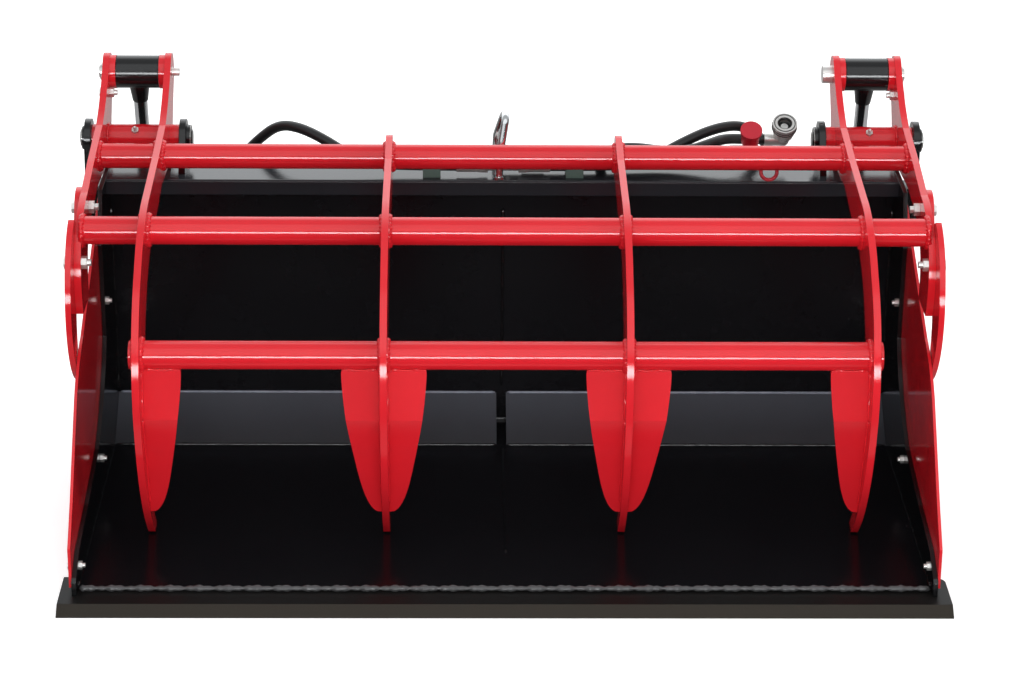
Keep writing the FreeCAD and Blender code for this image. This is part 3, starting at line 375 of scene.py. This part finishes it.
# Hose clamps and dust cap: moulded plastic, green-grey blocks and a soft red cap.
# Both have a satin skin with fine moulding grain.
def plastic(name, colour, roughness, grain):
    """Moulded plastic with grain, slight colour drift and softened edges."""
    material, tree, shader, where = new_material(name)
    drift = noise(tree, where, Scale=30.0, Detail=4.0)
    skin = noise(tree, where, Scale=900.0, Detail=2.0)
    tree.links.new(blended(tree, drift, shaded(colour, 0.85), colour), shader.inputs["Base Color"])
    shader.inputs["Roughness"].default_value = roughness
    bumpy(tree, shader, skin, grain, 0.0002, 0.001)
    return material


paint(plastic("clamp_green", (0.10, 0.19, 0.16), 0.55, 0.3), "hose_clamps")
paint(plastic("cap_red", (0.52, 0.012, 0.03), 0.3, 0.2), "dust_cap")


# Hoses: 19 mm hydraulic hose with a smooth black rubber cover, pressed into zinc ferrules.
# Four run from the tees to the cylinders; two go to the couplings.
# Their routes are written in millimetres.
def hose_line(name, points, diameter=0.019):
    """A smooth line through a hose's route, with its round section."""
    curve = bpy.data.curves.new(name, "CURVE")
    curve.dimensions = "3D"
    curve.bevel_depth = diameter / 2
    curve.bevel_resolution = 8
    curve.resolution_u = 10
    curve.use_fill_caps = True
    spline = curve.splines.new("NURBS")
    spline.points.add(len(points) - 1)
    for at, point in zip(spline.points, points):
        at.co = (*[value / 1000 for value in point], 1)
    spline.order_u = 3
    spline.use_endpoint_u = True
    hose = bpy.data.objects.new(name, curve)
    bpy.context.scene.collection.objects.link(hose)
    return hose


def centre_line(hose):
    """Points along the middle of a hose."""
    depth = hose.data.bevel_depth
    hose.data.bevel_depth = 0
    bpy.context.view_layer.update()
    line = bpy.data.meshes.new_from_object(hose.evaluated_get(bpy.context.evaluated_depsgraph_get()))
    hose.data.bevel_depth = depth
    path = [vertex.co.copy() for vertex in line.vertices]
    bpy.data.meshes.remove(line)
    return path


RUBBER = plastic("hose_rubber", (0.009, 0.009, 0.0095), 0.42, 0.5)


def as_tube(hose):
    """The hose as a mesh tube."""
    bpy.context.view_layer.update()
    name = hose.name
    tube = bpy.data.meshes.new_from_object(hose.evaluated_get(bpy.context.evaluated_depsgraph_get()))
    bpy.data.objects.remove(hose)
    piece = bpy.data.objects.new(name, tube)
    bpy.context.scene.collection.objects.link(piece)
    for polygon in tube.polygons:
        polygon.use_smooth = True
    return piece


def mirrored(points):
    """The same route on the other side."""
    return [(-x, y, z) for x, y, z in points]


FRONT_LINE, REAR_LINE, HOSE_LEVEL = 722, 749, 548
ROD_SIDE_START = [(85, FRONT_LINE, HOSE_LEVEL), (192, FRONT_LINE, HOSE_LEVEL), (262, 727, 553)]
ROD_SIDE_END = [(547.5, 919.6, 470.9), (601.2, 919.6, 470.9)]
FOOT_SIDE_OUTWARD = [
    (378, 797, 442), (430, 815, 418), (472, 846, 376), (506, 892, 336), (543.5, 964.8, 311.2),
    (601.2, 964.8, 311.2)]
CYLINDER_HOSES = [
    ("rod_side_hose_right", "right",
     ROD_SIDE_START + [(330, 766, 580), (392, 806, 594), (446, 841, 589), (486, 868, 553), (514, 892, 508)]
     + ROD_SIDE_END, 0.622),
    ("rod_side_hose_left", "left", mirrored(
        ROD_SIDE_START + [(322, 766, 580), (372, 806, 592), (414, 841, 586), (452, 868, 550), (488, 892, 506)]
        + ROD_SIDE_END), 0.617),
    ("foot_side_hose_right", "right",
     [(230, 780, 462), (273, 780, 462), (326, 786, 460)] + FOOT_SIDE_OUTWARD, 0.485),
    ("foot_side_hose_left", "left",
     [(120, 780, 462), (55, 780, 462), (0, 786, 464), (-64, 784, 466), (-128, 786, 465),
      (-192, 789, 464), (-256, 788, 464), (-318, 790, 459)] + mirrored(FOOT_SIDE_OUTWARD), 0.834),
]
for name, side, route, length in CYLINDER_HOSES:
    line = hose_line(f"{name}_rubber", route)
    path = centre_line(line)
    tube = as_tube(line)
    tube.data.materials.append(RUBBER)
    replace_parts(tube, name)
    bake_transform(tube)

SUPPLY_HOSES = [
    ("supply_hose_capped", ["capped_coupling"],
     [(75, REAR_LINE, HOSE_LEVEL), (178, REAR_LINE, HOSE_LEVEL), (238, 752, 546), (298, 754, 545.5),
      (350, 765, 554), (391, 766, 562), (417, 766, 562)], 0.344),
    ("supply_hose_open", ["open_coupling"],
     [(175, 780, 507), (175, 780, 532), (190, 771, 562), (234, 746, 577), (286, 718, 579),
      (338, 724, 577), (382, 752, 583), (408, 781, 582), (455, 798, 575), (482, 798, 575)], 0.387),
]
for name, ends, route, length in SUPPLY_HOSES:
    line = hose_line(f"{name}_rubber", route)
    line.data.materials.append(RUBBER)
    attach(line, "bucket")
    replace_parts(line, name)


# Tine wings: flat plates folded once at the knee, tapered to a rounded foot on either side of a tine.
# Each outline runs from the lower tube down to the tooth and is cut on a fair curve.
KNEE_UP, KNEE_BACK = 0.293, 0.152
LEAN_ABOVE, LEAN_BELOW = 0.012 / 0.086, -0.070 / 0.207
SHEET_THICKNESS = (0, 0.008, 0.001)


def wing(mesh, root, direction):
    """One wing that starts at a tine's face and reaches outwards."""
    edge = [Vector((0, 0, 0.380)), Vector((0.0615, 0, 0.380)), Vector((0.0645, 0, 0.3785))]
    edge += interpolate_bezier(Vector((0.0655, 0, 0.374)), Vector((0.064, 0, 0.32)),
                               Vector((0.0515, 0, 0.245)), Vector((0.042, 0, 0.190)), 14)
    edge += interpolate_bezier(Vector((0.042, 0, 0.190)), Vector((0.036, 0, 0.155)),
                               Vector((0.026, 0, 0.100)), Vector((0.008, 0, 0.092)), 14)[1:]
    edge.append(Vector((0, 0, 0.091)))
    sheet = mesh.faces.new([mesh.verts.new((root + direction * at.x, 0, at.z)) for at in edge])
    cut = bmesh.ops.bisect_plane(mesh, geom=[sheet, *sheet.edges, *sheet.verts],
                                 plane_co=(0, 0, KNEE_UP), plane_no=(0, 0, 1))
    faces = [item for item in cut["geom"] if isinstance(item, bmesh.types.BMFace)]
    for vertex in {vertex for face in faces for vertex in face.verts}:
        fall = vertex.co.z - KNEE_UP
        vertex.co.y = KNEE_BACK + fall * (LEAN_ABOVE if fall > 0 else LEAN_BELOW)
    grown = bmesh.ops.extrude_face_region(mesh, geom=faces, use_keep_orig=True)["geom"]
    bmesh.ops.translate(mesh, verts=[item for item in grown if isinstance(item, bmesh.types.BMVert)],
                        vec=SHEET_THICKNESS)


def finished(name, mesh, body, material, smooth=True):
    """Close a mesh into one piece that rides with its body."""
    bmesh.ops.recalc_face_normals(mesh, faces=mesh.faces)
    data = bpy.data.meshes.new(name)
    mesh.to_mesh(data)
    mesh.free()
    for polygon in data.polygons:
        polygon.use_smooth = smooth
    data.materials.append(material)
    piece = bpy.data.objects.new(name, data)
    bpy.context.scene.collection.objects.link(piece)
    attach(piece, body)
    return piece


TINES = (-0.615, -0.205, 0.205, 0.615)
HALF_TINE = 0.006
plates = bmesh.new()
for tine in TINES:
    for way in (-1, 1):
        if abs(tine) < 0.5 or way * tine < 0:
            wing(plates, tine + way * HALF_TINE, way)
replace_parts(finished("folded_wings", plates, "grapple", RED_COAT, smooth=False), "tine_wings")


# Pin covers: black discs over the flange and the end of each pivot pin, flush on the ears.
# The wide disc lies against the ear and the narrow one is the pin's own end.
PIVOT = (0.785, 0.578)
RIM_CHAMFER = 0.0012


def edges_of(corners):
    """Every edge at these corners, each one once and in a fixed order."""
    return list(dict.fromkeys(edge for corner in corners for edge in corner.link_edges))


def disc(mesh, x_from, x_to, radius):
    """A turned disc on the pivot's axis, with a small chamfer at its outer rim."""
    low, high = min(x_from, x_to), max(x_from, x_to)
    made = bmesh.ops.create_cone(
        mesh, cap_ends=True, segments=48, radius1=radius, radius2=radius, depth=high - low,
        matrix=Matrix.Translation(((low + high) / 2, *PIVOT)) @ Matrix.Rotation(math.pi / 2, 4, "Y"))
    rims = [edge for edge in edges_of(made["verts"])
            if all(abs(corner.co.x - x_to) < 1e-5 for corner in edge.verts)]
    bmesh.ops.bevel(mesh, geom=rims, offset=RIM_CHAMFER, segments=2, affect="EDGES")


covers = bmesh.new()
for side in (-1, 1):
    for x_from, x_to, radius in ((0.5789, 0.5705, 0.0245), (0.5705, 0.5680, 0.0158),
                                 (0.7641, 0.7705, 0.0215), (0.7705, 0.7728, 0.0155)):
        disc(covers, side * x_from, side * x_to, radius)
finished("pivot_pin_covers", covers, "bucket", BLACK_COAT, smooth=False)


# Grease nipples: a zinc hexagon and a round head on each nipple of the pivot bushes.
# Both stand on the bush and lean back with the nipple.
NIPPLE_X, NIPPLE_LEAN, HEXAGON_AT, HEAD_AT = 0.6715, 40, 0.0268, 0.0345
hexagons = bmesh.new()
lean = Matrix.Rotation(math.radians(NIPPLE_LEAN), 4, "X")
for side in (-1, 1):
    seat = Matrix.Translation((side * NIPPLE_X, *PIVOT)) @ lean
    bmesh.ops.create_cone(hexagons, cap_ends=True, segments=6, radius1=0.0068, radius2=0.0068, depth=0.005,
                          matrix=seat @ Matrix.Translation((0, 0, HEXAGON_AT)))
    bmesh.ops.create_icosphere(hexagons, subdivisions=2, radius=0.0036,
                               matrix=seat @ Matrix.Translation((0, 0, HEAD_AT)))
finished("nipple_hexagons", hexagons, "grapple", ZINC, smooth=False)


# Cap strap: a soft red strip that hangs from the cap's skirt and ends in a ring.
# The ring lies in front of the beam when the cap is on its coupling.
def line_through(curve, knots):
    """A smooth line through some places."""
    line = curve.splines.new("BEZIER")
    line.bezier_points.add(len(knots) - 1)
    for knot, place in zip(line.bezier_points, knots):
        knot.co = place
        knot.handle_left_type = "AUTO"
        knot.handle_right_type = "AUTO"
    return line


def ring_knot(turn):
    """A place on the strap's ring, which leans a little."""
    up = math.cos(turn)
    return (0.4815 + 0.0145 * math.sin(turn), 0.6865 + 0.004 * up, 0.5505 + 0.0138 * up)


strap = bpy.data.curves.new("cap_strap_line", "CURVE")
strap.dimensions = "3D"
strap.bevel_depth = 0.0034
strap.bevel_resolution = 5
line_through(strap, [(0.463, 0.746, 0.580), (0.476, 0.716, 0.566), (0.4812, 0.691, 0.5675)])
ring = line_through(strap, [ring_knot(index * math.pi / 4) for index in range(8)])
ring.use_cyclic_u = True
cap_strap = bpy.data.objects.new("cap_strap", strap)
bpy.context.scene.collection.objects.link(cap_strap)
cap_strap = as_tube(cap_strap)
cap_strap.data.materials.append(nodes["dust_cap"].data.materials[0])
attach(cap_strap, "bucket")


# Coupling seals: dark rings in the socket and in the grooves of the open coupling's sleeve.
# Each one is a hoop laid round the coupling's own axis.
def hoop(mesh, centre, axis, radius, thick):
    """A ring of round section about an axis square to X."""
    across = Vector((1, 0, 0))
    turn = axis.cross(across).to_track_quat("Z", "Y").to_matrix().to_4x4()
    section = bmesh.ops.create_circle(mesh, segments=8, radius=thick,
                                      matrix=Matrix.Translation(centre + across * radius) @ turn)["verts"]
    bmesh.ops.spin(mesh, geom=edges_of(section), cent=centre, axis=axis, angle=2 * math.pi, steps=48,
                   use_merge=True)


COUPLING_WAY = Vector((0, -0.5736, 0.8192))
COUPLING_SEAT = Vector((0.516, 0.798, 0.575))
SOCKET_SEALS = [(0.0502, 0.0188, 0.0009), (0.0485, 0.0128, 0.0013), (0.0445, 0.0126, 0.0013),
                (0.0402, 0.0078, 0.0011), (0.0345, 0.0110, 0.0024)]
SLEEVE_SEALS = [(0.0425, 0.0226, 0.0008), (0.0372, 0.0226, 0.0008), (0.0315, 0.0190, 0.0012)]
seals = bmesh.new()
for along, radius, thick in SOCKET_SEALS + SLEEVE_SEALS:
    hoop(seals, COUPLING_SEAT + COUPLING_WAY * along, COUPLING_WAY, radius, thick)
finished("coupling_seals", seals, "bucket", RUBBER)


# Welds: every tube, wing, boss and sheet is joined by a hand-laid bead, painted over with its plates.
# A bead is a thin rippled bar along the joint, a ring where it goes round a tube.
def ring_bead(mesh, x, centre, radius, bead, ripple=0.16):
    """A closed rippled bead round a bar that lies along X."""
    back, up = centre
    section = bmesh.ops.create_circle(
        mesh, segments=7, radius=bead,
        matrix=Matrix.Translation((x, back, up + radius)) @ Matrix.Rotation(math.pi / 2, 4, "X"))
    before = set(mesh.verts) - set(section["verts"])
    bmesh.ops.spin(mesh, geom=edges_of(section["verts"]), cent=(x, back, up), axis=(1, 0, 0),
                   angle=2 * math.pi, steps=64, use_merge=True)
    for vertex in set(mesh.verts) - before:
        around = math.atan2(vertex.co.z - up, vertex.co.y - back)
        middle = Vector((x, back + radius * math.cos(around), up + radius * math.sin(around)))
        swell = 1 + ripple * math.sin(around * 21 + x * 300) + 0.5 * ripple * math.sin(around * 5 + x * 90)
        vertex.co = middle + (vertex.co - middle) * swell


def line_bead(mesh, start, end, bead, ripple=0.16):
    """A rippled bead along a straight joint, drawn in at both ends."""
    start, end = Vector(start), Vector(end)
    way = end - start
    steps = max(3, round(way.length / 0.0055))
    turn = way.to_track_quat("Z", "Y").to_matrix().to_4x4()
    ring = bmesh.ops.create_circle(mesh, segments=7, radius=bead, cap_ends=True,
                                   matrix=Matrix.Translation(start) @ turn)["verts"]
    edges = edges_of(ring)
    loops = [ring]
    for step in range(steps):
        grown = bmesh.ops.extrude_edge_only(mesh, edges=edges)["geom"]
        ring = [item for item in grown if isinstance(item, bmesh.types.BMVert)]
        edges = [item for item in grown if isinstance(item, bmesh.types.BMEdge)]
        bmesh.ops.translate(mesh, verts=ring, vec=way / steps)
        loops.append(ring)
    bmesh.ops.contextual_create(mesh, geom=edges)
    for index, loop in enumerate(loops):
        swell = 1 + ripple * math.sin(index * 2.1) + ripple * math.sin(index * 0.73)
        if index in (0, steps):
            swell = 0.45
        centre = start + way * index / steps
        for vertex in loop:
            vertex.co = centre + (vertex.co - centre) * swell


UPPER, MIDDLE, LOWER = (0.645, 0.591), (0.362, 0.554), (0.178, 0.401)
TUBE_RINGS = [(UPPER, 0.0225), (MIDDLE, 0.0244), (LOWER, 0.0244)]
LEVER_FACE, TUBE_BEAD, TUBE_RIPPLE = 0.722, 0.0048, 0.28
beads = bmesh.new()
for tine in TINES:
    for face in (-HALF_TINE, HALF_TINE):
        for centre, radius in TUBE_RINGS:
            ring_bead(beads, tine + face, centre, radius, TUBE_BEAD, TUBE_RIPPLE)
for side in (-1, 1):
    for centre, radius in TUBE_RINGS[:2]:
        ring_bead(beads, side * LEVER_FACE, centre, radius, TUBE_BEAD, TUBE_RIPPLE)
    for x in (0.621, LEVER_FACE):
        ring_bead(beads, side * x, PIVOT, 0.0252, 0.0034)
finished("grapple_tube_welds", beads, "grapple", RED_COAT)

WING_TOP, WING_BEND, WING_END = (0.163, 0.377), (0.151, 0.293), (0.212, 0.112)
WING_EDGE, WING_BEAD, TOP_BEAD = (0.1665, 0.3795), 0.0026, 0.0032
beads = bmesh.new()
for tine in TINES:
    for face in (-HALF_TINE, HALF_TINE):
        if abs(tine) > 0.5 and face * tine > 0:
            continue
        x = tine + face
        line_bead(beads, (x, *WING_TOP), (x, *WING_BEND), WING_BEAD)
        line_bead(beads, (x, *WING_BEND), (x, *WING_END), WING_BEAD)
        root = x + math.copysign(0.004, face)
        tip = x + math.copysign(0.058, face)
        first_end = root + (tip - root) * 0.35
        second_start = root + (tip - root) * 0.66
        line_bead(beads, (root, *WING_EDGE), (first_end, *WING_EDGE), TOP_BEAD)
        line_bead(beads, (second_start, *WING_EDGE), (tip, *WING_EDGE), TOP_BEAD)
finished("wing_welds", beads, "grapple", RED_COAT)

WELD_COAT = coat("weld_coat", (0.045, 0.045, 0.047), (0.06, 0.06, 0.06), 0.25, 0.3, 0.001, 0.012)
beads = bmesh.new()
line_bead(beads, (-0.718, 0.069, 0.020), (0.718, 0.069, 0.021), 0.005, 0.25)
finished("front_weld", beads, "bucket", WELD_COAT)

FLOOR_FACE, WALL_FACE, SIDE_FACE, FLOOR_BACK, BEAM_FOOT = 0.0225, 0.7525, 0.7195, 0.645, 0.455
beads = bmesh.new()
line_bead(beads, (0.001, WALL_FACE, 0.10), (0.001, WALL_FACE, BEAM_FOOT), 0.003)
line_bead(beads, (0.002, 0.20, FLOOR_FACE), (0.002, FLOOR_BACK, FLOOR_FACE), 0.002)
for side in (-1, 1):
    x = side * SIDE_FACE
    line_bead(beads, (x, 0.076, FLOOR_FACE), (x, FLOOR_BACK, FLOOR_FACE), 0.003)
    line_bead(beads, (x, WALL_FACE, 0.09), (x, WALL_FACE, BEAM_FOOT), 0.003)
    line_bead(beads, (side * 0.01, 0.651, FLOOR_FACE), (side * 0.717, 0.651, FLOOR_FACE), 0.0025)
finished("bucket_welds", beads, "bucket", BLACK_COAT)

# Corner sheet edges: a thin pale bar along each corner sheet's top edge is a painted highlight of light
# caught on that edge, not a weld.
SHEET_TOP = (0.7515, 0.0858)
PAINTED_EDGE_HIGHLIGHT = coat("painted_edge_highlight", (0.17, 0.19, 0.235), (0.3, 0.3, 0.3), 0.25, 0.2, 0.0005, 0.01)
beads = bmesh.new()
for side in (-1, 1):
    line_bead(beads, (side * 0.0115, *SHEET_TOP), (side * 0.716, *SHEET_TOP), 0.0026, 0.05)
finished("corner_sheet_edge_highlights", beads, "bucket", PAINTED_EDGE_HIGHLIGHT)
